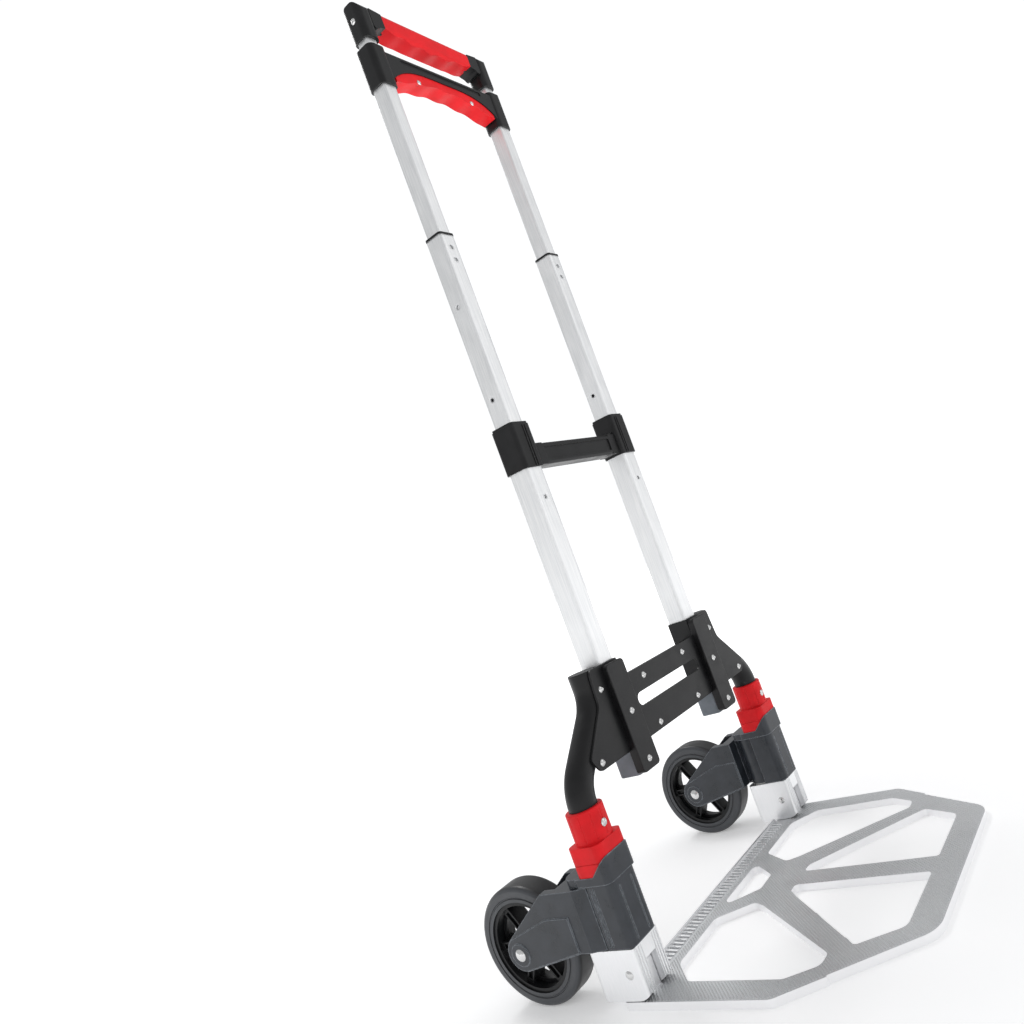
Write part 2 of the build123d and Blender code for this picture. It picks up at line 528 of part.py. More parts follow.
# ---------------------------------------------------------------------------
# Toe plate
# ---------------------------------------------------------------------------
OUTLINE_HALF = [(PLATE_HALF, 0.0, 4.0), (PLATE_HALF, 157.6, 14.0), (167.5, 200.0, 0.8),
                (165.8, 198.9, 0.6), (110.6, PLATE_LEN, 27.0)]
WINDOW_A = [(13.4, 101.0, 5.0), (26.6, 102.5, 8.0), (125.8, 210.0, 6.0), (102.2, 253.1, 12.0),
            (14.5, 253.4, 4.0)]
WINDOW_B = [(66.0, 29.0, 10.0), (139.0, 29.0, 14.0), (167.0, 55.0, 14.0), (169.0, 158.0, 12.0),
            (152.0, 188.0, 10.0), (136.0, 189.0, 8.0), (49.0, 80.0, 8.0), (41.5, 66.0, 8.0)]
WINDOW_C = [(-42.8, 24.2, 6.0), (42.8, 24.2, 6.0), (13.9, 59.4, 6.0), (-13.9, 59.4, 6.0)]
outline = OUTLINE_HALF + mirrored(OUTLINE_HALF)
windows = [WINDOW_A, mirrored(WINDOW_A), WINDOW_B, mirrored(WINDOW_B), WINDOW_C]

plate_sketch = corner_path(outline)
pocket_sketch = corner_path(grow(outline, -3.0))
for window in windows:
    plate_sketch -= corner_path(window)
    pocket_sketch -= corner_path(grow(window, 2.5))
deck = extrude(plate_sketch, PLATE_T)
pocket = extrude(pocket_sketch, PLATE_T - SKIN_T)
deck -= pocket

RIB_H = PLATE_T - SKIN_T + 0.2
RIB_T = 1.5


def rib(x0, y0, x1, y1):
    """Underside rib between two points of the plate's own plan."""
    length = math.hypot(x1 - x0, y1 - y0)
    turn = math.degrees(math.atan2(y1 - y0, x1 - x0))
    body = Pos(0, 0, RIB_H / 2 + 0.3) * Box(length, RIB_T, RIB_H - 0.6)
    return Pos((x0 + x1) / 2, (y0 + y1) / 2, 0) * Rot(0, 0, turn) * body


def twin_rib(x0, y0, x1, y1, gap):
    length = math.hypot(x1 - x0, y1 - y0)
    ox, oy = -(y1 - y0) / length * gap / 2, (x1 - x0) / length * gap / 2
    return [rib(x0 + ox, y0 + oy, x1 + ox, y1 + oy), rib(x0 - ox, y0 - oy, x1 - ox, y1 - oy)]


ribs = twin_rib(41, 94, 128, 196, 6.0)
ribs += twin_rib(26, 66, 54, 26, 6.0)
ribs += twin_rib(181, 40, 181, 150, 6.0)
ribs += twin_rib(177, 160, 118, 250, 6.0)
ribs += [rib(3.5, 100, 3.5, 248), rib(4, 98, 34, 76)]
ribs += [rib(x, 3, x, 22) for x in (24, 48, 72, 96, 120, 144)]
for piece in ribs:
    deck += piece
    deck += mirror(piece, about=Plane.YZ)
deck += rib(-30, 88, 30, 88)

# Raised lip and its small gussets along the back edge.
LIP_HALF = 148.0
deck += block(-LIP_HALF, LIP_HALF, 0.2, 3.0, PLATE_T - 1, PLATE_T + 5)
for k in range(24):
    x = -138 + 12 * k
    deck += block(x - 0.9, x + 0.9, 2.5, 9.0, PLATE_T - 1, PLATE_T + 2.4)

# The plan is drawn with the back edge on y = 0 and the toe towards plus y.
deck = Pos(0, PLATE_BACK, 0) * mirror(deck, about=Plane.XZ)
undercut = half_profile([(PLATE_BACK - 4, -1), (PLATE_BACK + 1, -1), (PLATE_BACK + 1, 4)], -200, 200)
deck -= undercut

lug = along_x(LUG_R, -LUG_W / 2, LUG_W / 2, HINGE_Y, HINGE_Z)
lug += block(-LUG_W / 2, LUG_W / 2, HINGE_Y - LUG_R, HINGE_Y + LUG_R, PLATE_T - 1, HINGE_Z)
lug -= along_x(PIN_R + 0.06, -20, 20, HINGE_Y, HINGE_Z)
for sx in (1, -1):
    deck += Pos(sx * POST_X, 0, 0) * lug
save(deck, "toe_plate")

# ---------------------------------------------------------------------------
# Lower grip: black frame, red pad, two screws
# ---------------------------------------------------------------------------
BLK_W, BLK_D = 22.0, 25.0


def scallop(half, z_mid, depth, amplitude, bumps, z_top, lift=0.0):
    """Wavy-bottomed outline (x, z) for a finger grip; lift raises the middle."""
    points = []
    steps = 48
    for i in range(steps + 1):
        x = -half + 2 * half * i / steps
        wave = amplitude * math.cos(bumps * math.pi * (x / half + 1))
        points.append((x, z_mid - depth + wave + lift * (1 - (x / half) ** 2)))
    lower = Spline(*points)
    return lower, points


grip_low = Compound(children=[])
frame_low = bar(BLK_W, BLK_D, 6.5, GRIP_LOW_Z0, GRIP_LOW_Z1, RAIL_X, RAIL_Y)
frame_low += mirror(frame_low, about=Plane.YZ)
LOW_TOP = GRIP_LOW_Z1 - 4.5
arch_left = (-RAIL_X + 8, GRIP_LOW_Z0 + 9)
arch_right = (RAIL_X - 8, GRIP_LOW_Z0 + 9)
arch = Spline(arch_left, (-52, LOW_TOP - 15), (0, LOW_TOP - 11), (52, LOW_TOP - 15), arch_right)
arch_face = make_face([
    arch,
    Line(arch_right, (arch_right[0], LOW_TOP)),
    Line((arch_right[0], LOW_TOP), (arch_left[0], LOW_TOP)),
    Line((arch_left[0], LOW_TOP), arch_left),
])
arch_solid = Pos(0, RAIL_Y, 0) * Rot(90, 0, 0) * extrude(arch_face, 11, both=True)
arch_solid = arch_solid - Pos(0, RAIL_Y, 0) * Rot(90, 0, 0) * extrude(
    Pos(0, LOW_TOP - 5) * RectangleRounded(120, 5, 1.5), 14, both=True) + Pos(
    0, RAIL_Y, LOW_TOP - 5) * Box(122, 19.6, 5.4)
frame_low += arch_solid
core = bar(INNER_W, INNER_D, INNER_R, GRIP_LOW_Z0 - 1, INNER_TOP, RAIL_X, RAIL_Y)
core += bar(ROD_W + 0.16, ROD_D + 0.16, ROD_R, GRIP_LOW_Z0, GRIP_LOW_Z1 + 1, RAIL_X, RAIL_Y)
frame_low -= both(core)

pad_half = 74.0
low_line, low_pts = scallop(pad_half, GRIP_LOW_Z0 + 7.5, 0, 0.9, 5, 0, lift=12.5)
pad_low_face = make_face([
    low_line,
    Line(low_pts[-1], (low_pts[-1][0], LOW_TOP - 8)),
    Line((low_pts[-1][0], LOW_TOP - 8), (low_pts[0][0], LOW_TOP - 8)),
    Line((low_pts[0][0], LOW_TOP - 8), low_pts[0]),
])
pad_low = Pos(0, RAIL_Y, 0) * Rot(90, 0, 0) * extrude(pad_low_face, 9.5, both=True)
pad_low -= frame_low
keep = sorted(pad_low.solids(), key=lambda s: s.volume)[-1]
PAD_SCREWS = [40.0]
for sx in (1, -1):
    hole = along_y(1.6, RAIL_Y - 12, RAIL_Y - 4, sx * 40.0, GRIP_LOW_Z0 + 18.5)
    keep = keep - hole
    frame_low -= hole
save(frame_low, "lower_grip_frame")
save(keep, "lower_grip_pad")

small_screw = dome(2.8, 1.0) + Pos(0, 0, -2.6) * Cylinder(1.6, 5.2)
small_screw -= Pos(0, 0, 0.9) * (Box(3.4, 0.7, 0.8) + Box(0.7, 3.4, 0.8))
screw_low = Pos(40.0, RAIL_Y - 9.5, GRIP_LOW_Z0 + 18.5) * Rot(90, 0, 0) * small_screw
save(both(screw_low), "lower_grip_screws")

# ---------------------------------------------------------------------------
# Top handle
# ---------------------------------------------------------------------------
TOP_W = 19.5
TOP_PAD = 63.0
top_block = bar(TOP_W, BLK_D - 1, 7.5, GRIP_TOP_Z0, GRIP_TOP_Z1, RAIL_X - 0.5, RAIL_Y)
crown = corner_path([(RAIL_Y - 15, GRIP_TOP_Z0 - 1, 0.4), (RAIL_Y + 15, GRIP_TOP_Z0 - 1, 0.4),
                     (RAIL_Y + 15, GRIP_TOP_Z1 - 12, 0.4), (RAIL_Y + 8, GRIP_TOP_Z1, 9),
                     (RAIL_Y - 8, GRIP_TOP_Z1, 9), (RAIL_Y - 15, GRIP_TOP_Z1 - 12, 0.4)])
top_block &= extrude(Plane.YZ * crown, 120)
flare = corner_path([(TOP_PAD, 1013, 1), (71, 1011, 3), (79, 1003, 4), (79, 1031, 1), (TOP_PAD, 1029.5, 1)])
flare = Pos(0, RAIL_Y, 0) * Rot(90, 0, 0) * extrude(flare, 10.5, both=True)
flare = fillet(flare.edges().filter_by(Axis.X), 0.8) if flare.edges().filter_by(Axis.X) else flare
frame_top = top_block + flare
frame_top += mirror(frame_top, about=Plane.YZ)
frame_top += Pos(0, RAIL_Y, 1019) * Rot(0, 90, 0) * Cylinder(6.0, 2 * TOP_PAD + 4)
frame_top -= both(bar(ROD_W, ROD_D, ROD_R, GRIP_TOP_Z0 - 1, ROD_Z1, RAIL_X, RAIL_Y))
side_screw_hole = along_x(1.8, RAIL_X, RAIL_X + 20, RAIL_Y, GRIP_TOP_Z1 - 19)
frame_top -= both(side_screw_hole)
save(frame_top, "top_grip_frame")

top_line, top_pts = scallop(TOP_PAD, 1012.5, 0, 0.9, 5, 0, lift=-4.2)
grip_face = make_face([
    top_line,
    Line(top_pts[-1], (top_pts[-1][0], 1031.5)),
    Line((top_pts[-1][0], 1031.5), (top_pts[0][0], 1031.5)),
    Line((top_pts[0][0], 1031.5), top_pts[0]),
])
grip = Pos(0, RAIL_Y, 0) * Rot(90, 0, 0) * extrude(grip_face, 12, both=True)
barrel = Pos(0, RAIL_Y, 1019.5) * Rot(0, 90, 0) * extrude(RectangleRounded(28, 21, 8.5), TOP_PAD, both=True)
grip = (grip & barrel) - Pos(0, RAIL_Y, 1019) * Rot(0, 90, 0) * Cylinder(6.0, 2 * TOP_PAD + 4)
save(grip, "top_grip_pad")

side_screw = dome(3.4, 1.3) + Pos(0, 0, -3.5) * Cylinder(1.8, 7.0)
side_screw -= Pos(0, 0, 1.1) * (Box(4.0, 0.8, 1.0) + Box(0.8, 4.0, 1.0))
side_screw = Pos(RAIL_X - 0.5 + TOP_W / 2, RAIL_Y, GRIP_TOP_Z1 - 19) * Rot(0, 90, 0) * side_screw
save(both(side_screw), "top_grip_screws")
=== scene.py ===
# %% [markdown]
# # A folding hand truck
# This lesson dresses a small two-wheeled hand truck: aluminium rails that telescope,
# a pressed black bracket, two wheels on folding arms and a ribbed toe plate.
# The exact shapes come from the packed CAD model, so the work here is finish and fine detail.

import math

import bpy
from mathutils import Matrix, Vector


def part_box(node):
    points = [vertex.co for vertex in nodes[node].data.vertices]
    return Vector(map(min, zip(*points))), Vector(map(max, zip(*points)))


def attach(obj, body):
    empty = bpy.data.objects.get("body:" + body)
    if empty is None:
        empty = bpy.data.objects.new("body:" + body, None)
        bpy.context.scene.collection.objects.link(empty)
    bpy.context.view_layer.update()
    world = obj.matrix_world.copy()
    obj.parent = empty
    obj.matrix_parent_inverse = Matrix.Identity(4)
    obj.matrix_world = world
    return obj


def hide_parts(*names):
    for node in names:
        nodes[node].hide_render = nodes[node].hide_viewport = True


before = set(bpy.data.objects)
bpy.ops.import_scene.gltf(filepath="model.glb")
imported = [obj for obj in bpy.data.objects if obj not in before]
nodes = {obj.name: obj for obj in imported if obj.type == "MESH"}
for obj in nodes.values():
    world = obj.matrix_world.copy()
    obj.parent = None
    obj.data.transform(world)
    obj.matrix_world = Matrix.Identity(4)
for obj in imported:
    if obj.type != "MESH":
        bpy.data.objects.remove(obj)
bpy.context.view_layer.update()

# %% [markdown]
# ## Where we stand
# A tall, thin thing looks lively from close by with a fairly wide lens, which makes the near
# wheel look much bigger than the far one. The camera is also rolled, which makes the rails
# lean back as if someone had just let go of the handle. The lens is shifted sideways by a
# little under a fifth of the frame and no more, because every other view keeps the shift.

# %% Camera
IMAGE_WIDTH = 1024
SENSOR = 36.0
NEAR_CLIP = 0.05


def place_camera(azimuth, elevation, roll, distance, target, focal, middle):
    """Looks at target from outside; focal and middle are in units of 1/IMAGE_WIDTH."""
    a, e, r = (math.radians(v) for v in (azimuth, elevation, roll))
    back = Vector((math.sin(a) * math.cos(e), -math.cos(a) * math.cos(e), math.sin(e)))
    right = Vector((math.cos(a), math.sin(a), 0))
    up = back.cross(right)
    turned_right = math.cos(r) * right + math.sin(r) * up
    turned_up = math.cos(r) * up - math.sin(r) * right
    data = bpy.data.cameras.new("camera")
    data.sensor_width = SENSOR
    data.lens = focal / IMAGE_WIDTH * SENSOR
    data.shift_x = (IMAGE_WIDTH / 2 - middle[0]) / IMAGE_WIDTH
    data.shift_y = (middle[1] - IMAGE_WIDTH / 2) / IMAGE_WIDTH
    data.clip_start = NEAR_CLIP
    camera = bpy.data.objects.new("camera", data)
    bpy.context.scene.collection.objects.link(camera)
    turn = Matrix((turned_right, turned_up, back)).transposed().to_4x4()
    camera.matrix_world = Matrix.Translation(Vector(target) + back * distance) @ turn
    bpy.context.scene.camera = camera
    print("camera at", [round(v, 3) for v in camera.location], "lens", round(data.lens, 1),
          "shift", round(data.shift_x, 3), round(data.shift_y, 3))


place_camera(azimuth=-59.724, elevation=-1.634, roll=-20.617, distance=1.1233,
             target=(0.23656, 0.053, 0.41017), focal=810.71, middle=(701.0, 517.0))

# %% [markdown]
# ## A white room
# Bright metal shows whatever is around it, so the room matters more than the lamps. A nearly
# white world lights everything evenly. What the camera sees of it can be brighter than what
# lights the truck, which keeps the backdrop clean without washing out the rails. There is no
# film curve, so white stays white.

# %% World
SKY = (0.98, 0.99, 1.0, 1)
scene = bpy.context.scene
scene.view_settings.view_transform = "Standard"


def white_world(seen, light):
    """A world that looks seen bright to the camera and lights the scene with light."""
    world = bpy.data.worlds.new("white_room")
    scene.world = world
    world.use_nodes = True
    tree = world.node_tree
    sky = tree.nodes["Background"]
    path = tree.nodes.new("ShaderNodeLightPath")
    level = tree.nodes.new("ShaderNodeMapRange")
    level.inputs["To Min"].default_value = light
    level.inputs["To Max"].default_value = seen
    tree.links.new(path.outputs["Is Camera Ray"], level.inputs["Value"])
    tree.links.new(level.outputs["Result"], sky.inputs["Strength"])
    sky.inputs["Color"].default_value = SKY
    print("world seen at", seen, "lighting at", light)


white_world(seen=1.05, light=0.60)

# %% [markdown]
# ## The floor
# A floor needs an edge somewhere, and an edge spoils a white room. This one is far wider than
# the view, and it glows more with distance until it melts into the world behind it. Near the
# truck it glows only a little, so that shadows still show.

# %% Floor
PAPER = (0.93, 0.93, 0.935, 1)
PAPER_ROUGH = 0.9


def floor_plane(half, near, far, glow):
    """A pale square that glows with strength glow up to near metres, and fully from far."""
    corners = [(-half, -half, 0), (half, -half, 0), (half, half, 0), (-half, half, 0)]
    mesh = bpy.data.meshes.new("floor")
    mesh.from_pydata(corners, [], [(0, 1, 2, 3)])
    made = bpy.data.objects.new("floor", mesh)
    scene.collection.objects.link(made)
    paper = bpy.data.materials.new("paper")
    paper.use_nodes = True
    tree = paper.node_tree
    shader = tree.nodes["Principled BSDF"]
    shader.inputs["Base Color"].default_value = PAPER
    shader.inputs["Roughness"].default_value = PAPER_ROUGH
    shader.inputs["Emission Color"].default_value = (1, 1, 1, 1)
    where = tree.nodes.new("ShaderNodeTexCoord")
    reach = tree.nodes.new("ShaderNodeVectorMath")
    reach.operation = "LENGTH"
    fade = tree.nodes.new("ShaderNodeMapRange")
    fade.inputs["From Min"].default_value = near
    fade.inputs["To Min"].default_value = glow
    fade.inputs["From Max"].default_value = far
    tree.links.new(where.outputs["Object"], reach.inputs[0])
    tree.links.new(reach.outputs["Value"], fade.inputs["Value"])
    tree.links.new(fade.outputs["Result"], shader.inputs["Emission Strength"])
    mesh.materials.append(paper)
    print("floor", 2 * half, "m wide")
    return made


floor = floor_plane(half=40, near=0.25, far=2.5, glow=0.27)

# %% [markdown]
# ## Two soft lamps
# A lamp above and behind the truck lays its shadow in front of the toe plate. A wide one in
# front keeps the front of each rail brighter than its side. Both are large discs, because a
# small lamp would draw hard lines of light down every rounded rail.


# %% Lamps
def soft_lamp(name, location, target, size, power):
    """A disc of light at location, facing target."""
    data = bpy.data.lights.new(name, "AREA")
    data.shape, data.size, data.energy = "DISK", size, power
    lamp = bpy.data.objects.new(name, data)
    lamp.location = location
    away = Vector(target) - Vector(location)
    lamp.rotation_euler = away.to_track_quat("-Z", "Y").to_euler()
    scene.collection.objects.link(lamp)
    print(name, "lamp:", power, "W from", round(away.length, 2), "m")


soft_lamp("key", location=(0.5, 1.4, 2.3), target=(0, -0.05, 0.2), size=0.9, power=16)
soft_lamp("front", location=(1.2, -2.4, 1.5), target=(0, 0, 0.4), size=2.2, power=8)

# %% [markdown]
# ## A shorthand for nodes
# Materials and Geometry Nodes are both trees of nodes. Writing each link by hand hides the
# idea in a page of typing, so this small class adds a node, fills its inputs with numbers or
# with other nodes' outputs, and gives back the output that the next node needs.

# %% Graph
FULL_NAMES = ("Shader", "Function")


class Graph:
    """A node tree that is written as nested calls."""

    def __init__(self, tree, prefix):
        self.tree, self.prefix = tree, prefix

    def join(self, value, socket):
        if isinstance(value, bpy.types.NodeSocket):
            self.tree.links.new(value, socket)
        else:
            socket.default_value = value

    def add(self, kind, inputs=(), out=0, **settings):
        name = kind if kind.startswith(FULL_NAMES) else self.prefix + kind
        node = self.tree.nodes.new(name)
        for key, value in settings.items():
            setattr(node, key, value)
        for where, value in dict(inputs).items():
            self.join(value, node.inputs[where])
        return node.outputs[out]

    def maths(self, operation, a, b=0.0):
        return self.add("ShaderNodeMath", {0: a, 1: b}, operation=operation)


print("a Graph offers:", [name for name in vars(Graph) if not name.startswith("_")])

# %% [markdown]
# ## Finishes
# A finish is more than a colour. Drawn metal has fine lines along the draw, moulded plastic a
# spark-eroded grain, painted steel a faint orange peel. Handling makes plastic, paint and bare
# metal paler at the corners. Two corner tints are painted light instead: the white anodised
# rails get a painted shade, a darker grey band on every corner, and the slate housings a pale
# painted highlight. The Bevel node rounds the light on the crisp CAD corners and also tells us
# where the corners are, which is where wear and these painted tints go.

# %% The finish class
WORN_BY = 9.0
BEVEL_SAMPLES = 4
LEVEL_STARTS, LEVEL_ENDS = 0.15, 0.6


class Finish(Graph):
    """A material whose patterns are measured in metres on the piece itself."""

    def __init__(self, name, **plain):
        self.material = bpy.data.materials.new(name)
        self.material.use_nodes = True
        super().__init__(self.material.node_tree, "ShaderNode")
        self.shader = self.tree.nodes["Principled BSDF"]
        self.here = self.add("TexCoord", out="Object")
        for key, value in plain.items():
            self.shader.inputs[key.replace("_", " ")].default_value = value

    def noise(self, size, detail=2.0, stretch=(1, 1, 1)):
        """Grains about size metres across, drawn out along an axis by stretch."""
        place = self.add("Mapping", {"Vector": self.here, "Scale": [1 / s for s in stretch]})
        sides = {"Vector": place, "Scale": 1 / size, "Detail": detail}
        return self.add("TexNoise", sides, out="Fac")

    def spread(self, value, low, high, start=0.35, end=0.65):
        """Turns the useful middle of a pattern into the range low to high."""
        sides = {"Value": value, "From Min": start, "From Max": end, "To Min": low, "To Max": high}
        return self.add("MapRange", sides, out="Result")

    def tint(self, amount, a, b):
        """Colour a where amount is 0, colour b where it is 1."""
        first = a if isinstance(a, bpy.types.NodeSocket) else (*a, 1)
        return self.add("Mix", {0: amount, 6: first, 7: (*b, 1)}, out=2, data_type="RGBA")

    def faces_along(self, axis):
        """1 on faces square to one of the piece's own axes, 0 on faces along it."""
        own = self.add("TexCoord", out="Normal")
        return self.maths("ABSOLUTE", self.add("SeparateXYZ", {0: own}, out=axis))

    def standing(self):
        """1 on upright faces, 0 on level ones."""
        return self.spread(self.faces_along("Z"), 1.0, 0.0, LEVEL_STARTS, LEVEL_ENDS)

    def corners(self, radius):
        """Rounded normals, and a mask that is 1 on the corners."""
        soft = self.add("Bevel", {"Radius": radius}, samples=BEVEL_SAMPLES)
        flat = self.add("NewGeometry", out="Normal")
        facing = self.add("VectorMath", {0: soft, 1: flat}, out="Value", operation="DOT_PRODUCT")
        away = self.maths("SUBTRACT", 1.0, facing)
        worn = self.add("Math", {0: away, 1: WORN_BY}, operation="MULTIPLY", use_clamp=True)
        return soft, worn

    def bump(self, height, depth, normal):
        sides = {"Height": height, "Distance": depth, "Strength": 1.0, "Normal": normal}
        return self.add("Bump", sides)

    def finish(self, colour, roughness, normal):
        self.join(colour, self.shader.inputs["Base Color"])
        self.join(roughness, self.shader.inputs["Roughness"])
        self.join(normal, self.shader.inputs["Normal"])
        return self


print("a corner counts as fully worn once its normal turns by",
      round(math.degrees(math.acos(1 - 1 / WORN_BY)), 1), "degrees")

# %% [markdown]
# ### Drawn and anodised aluminium
# The rails are extruded, then anodised to a soft white silver. Extrusion leaves hair-fine lines
# along the length, so the noise is squeezed across the rail and stretched along it. A slow,
# cloudy change in roughness keeps the long flat faces from looking like paper. The toe plate
# is cast with a mid grey top; its upright faces, the edge and the walls of its windows, are
# painted near white, a painted highlight for the light they catch.

# %% Metals
CLOUD_SIZE, CLOUD_SHARP, CLOUD_DULL = 0.035, -0.04, 0.05
LINE_SWING = 0.05
WEAR_AND_SHADE_SHARE, RUB_SHINE = 0.6, 1.12
ALONG_RAIL, ALONG_FOOT, EVEN = (1, 1, 60), (1, 1, 20), (1, 1, 1)


def metal(name, dark, light, rough, grain, stretch=EVEN, edge=0.0004, bite=0.00002,
          corner_wear_and_shade=None, painted_lit_wall=None):
    """Metal with lines of size grain drawn out along stretch, and corners edge metres soft."""
    f = Finish(name, Metallic=1.0)
    lines = f.noise(grain, 3, stretch)
    cloud = f.noise(CLOUD_SIZE, 3)
    normal, worn = f.corners(edge)
    colour = f.tint(f.spread(lines, 0, 1), dark, light)
    # Painted highlight: upright faces are painted near white where they would catch the light.
    if painted_lit_wall:
        colour = f.tint(f.standing(), colour, painted_lit_wall)
    # Corner colour: wear on most metals, paler than the metal; on the rails a painted shade,
    # darker grey.
    corner_wear_and_shade = corner_wear_and_shade or [min(1, v * RUB_SHINE) for v in light]
    colour = f.tint(f.maths("MULTIPLY", worn, WEAR_AND_SHADE_SHARE), colour, corner_wear_and_shade)
    roughness = f.maths("ADD", f.spread(lines, rough - LINE_SWING, rough + LINE_SWING),
                        f.spread(cloud, CLOUD_SHARP, CLOUD_DULL))
    return f.finish(colour, roughness, f.bump(lines, bite, normal))


METALS = {
    # The rails' corner colour is a painted shade that outlines each rail in darker grey.
    "rail_aluminium": dict(
        dark=(0.78, 0.79, 0.80), light=(0.90, 0.90, 0.90), rough=0.46, grain=0.0006,
        stretch=ALONG_RAIL, edge=0.003, corner_wear_and_shade=(0.50, 0.51, 0.53)),
    # The plate's upright faces get a painted highlight, near white.
    "plate_aluminium": dict(
        dark=(0.64, 0.65, 0.66), light=(0.76, 0.77, 0.78), rough=0.48, grain=0.0009,
        painted_lit_wall=(0.97, 0.97, 0.98)),
    "foot_aluminium": dict(
        dark=(0.91, 0.92, 0.93), light=(0.96, 0.96, 0.97), rough=0.45, grain=0.0007,
        stretch=ALONG_FOOT, bite=0.000006),
    "bright_steel": dict(
        dark=(0.62, 0.62, 0.62), light=(0.80, 0.80, 0.79), rough=0.22, grain=0.0004),
    "spring_steel": dict(
        dark=(0.35, 0.35, 0.36), light=(0.50, 0.50, 0.50), rough=0.30, grain=0.0005),
}
finishes = {name: metal(name, **look) for name, look in METALS.items()}
print("metals:", sorted(finishes))

# %% [markdown]
# ### Paint and moulded plastic
# The bracket and its bent tubes are powder-coated: the coat has a gentle orange peel and is thin
# on corners. The handles, housings and rims are moulded, with the tiny even grain of an eroded
# mould. One function makes them all; only grain, depth and sheen differ.

# %% Paint and plastic
DUST_SIZE, DUST_SHARP, DUST_DULL = 0.02, -0.04, 0.06
PATCH_SIZE, PATCH_LEAST = 0.004, 0.45
SKIN_SWING = 0.04


def moulded(name, dark, light, rough, grain, wear_and_highlight_colour, depth=0.00002, wear=0.35, edge=0.0005,
            sheen=0.32):
    """A painted or moulded surface with an even grain, faint dust and paler corners, which are
    wear on most pieces and a painted highlight on the slate housings.
    """
    f = Finish(name, Specular_IOR_Level=sheen)
    skin = f.noise(grain, 2)
    dust = f.noise(DUST_SIZE, 4)
    normal, worn = f.corners(edge)
    patches = f.spread(f.noise(PATCH_SIZE, 3), wear * PATCH_LEAST, wear)
    base = f.tint(f.spread(dust, 0, 1), dark, light)
    # Corner colour: wear on most finishes, a painted highlight on the slate housings.
    colour = f.tint(f.maths("MULTIPLY", worn, patches), base, wear_and_highlight_colour)
    roughness = f.maths("ADD", f.spread(skin, rough - SKIN_SWING, rough + SKIN_SWING),
                        f.spread(dust, DUST_SHARP, DUST_DULL))
    return f.finish(colour, roughness, f.bump(skin, depth, normal))


BLACK = dict(dark=(0.004, 0.004, 0.0045), light=(0.008, 0.008, 0.009), rough=0.40)
MOULDED = {
    "black_steel": dict(BLACK, grain=0.0013, depth=0.00003, wear_and_highlight_colour=(0.12, 0.12, 0.12)),
    "black_plastic": dict(BLACK, grain=0.0006, wear_and_highlight_colour=(0.07, 0.07, 0.07)),
    # The slate housings' pale corners are a painted highlight for the bright edges that catch the
    # light, not wear.
    "slate_plastic": dict(
        dark=(0.018, 0.022, 0.028), light=(0.032, 0.037, 0.046), rough=0.33, grain=0.0006,
        depth=0.00001, wear_and_highlight_colour=(0.34, 0.37, 0.41), wear=0.9, edge=0.0017, sheen=0.5),
    "grey_plastic": dict(
        dark=(0.15, 0.17, 0.19), light=(0.20, 0.22, 0.25), rough=0.45, grain=0.0006,
        wear_and_highlight_colour=(0.32, 0.34, 0.36)),
    "red_plastic": dict(
        dark=(0.66, 0.006, 0.010), light=(0.80, 0.010, 0.016), rough=0.48, grain=0.0007,
        wear_and_highlight_colour=(0.95, 0.12, 0.12), wear=0.4, sheen=0.2),
    "rim_plastic": dict(
        dark=(0.005, 0.005, 0.006), light=(0.009, 0.010, 0.011), rough=0.42, grain=0.0006,
        wear_and_highlight_colour=(0.06, 0.06, 0.065)),
    "white_nylon": dict(
        dark=(0.62, 0.62, 0.60), light=(0.72, 0.72, 0.70), rough=0.45, grain=0.0008,
        depth=0.00001, wear_and_highlight_colour=(0.8, 0.8, 0.78)),
}
finishes.update({name: moulded(name, **look) for name, look in MOULDED.items()})
print("paints and plastics:", sorted(MOULDED))

# %% [markdown]
# ### Tyre rubber
# The tyre is solid rubber with a satin skin. Its sides are painted a lighter grey than its
# tread, a painted sheen for the light the satin sides catch. Turning marks from the mould run
# round it, so a ring pattern is centred on each axle; both wheels share the axle line, so one
# centre serves.

# %% Tyre
TREAD_DARK, TREAD_LIGHT = (0.005, 0.005, 0.006), (0.012, 0.012, 0.013)
PAINTED_SIDE_SHEEN, WORN_GREY = (0.060, 0.064, 0.071), (0.07, 0.07, 0.072)
RING_SCALE, RING_SHARE, RING_SWING = 110.0, 0.5, 0.03
SIDE_STARTS, SIDE_ENDS = 0.25, 0.85
TYRE_WORN, TYRE_EDGE, TYRE_BITE = 0.3, 0.0006, 0.00002


def tyre_rubber(axle_y, axle_z):
    """Satin rubber with mould rings round the axle line."""
    f = Finish("tyre_rubber", Specular_IOR_Level=0.45)
    place = f.add("Mapping", {"Vector": f.here, "Location": (0, -axle_y, -axle_z)})
    sides = {"Vector": place, "Scale": RING_SCALE, "Distortion": 0.6, "Detail": 2.0}
    rings = f.add("TexWave", sides, out="Fac", wave_type="RINGS", rings_direction="X")
    skin, scuff = f.noise(0.0008, 3), f.noise(0.012, 5)
    normal, worn = f.corners(TYRE_EDGE)
    height = f.maths("ADD", f.maths("MULTIPLY", rings, RING_SHARE), skin)
    colour = f.tint(f.spread(scuff, 0, 1), TREAD_DARK, TREAD_LIGHT)
    # Painted sheen: faces that look along the axle get the lighter side grey.
    side = f.spread(f.faces_along("X"), 0, 1, SIDE_STARTS, SIDE_ENDS)
    colour = f.tint(side, colour, PAINTED_SIDE_SHEEN)
    colour = f.tint(f.maths("MULTIPLY", worn, TYRE_WORN), colour, WORN_GREY)
    roughness = f.maths("ADD", f.spread(scuff, 0.32, 0.46),
                        f.spread(rings, -RING_SWING, RING_SWING, 0, 1))
    return f.finish(colour, roughness, f.bump(height, TYRE_BITE, normal))


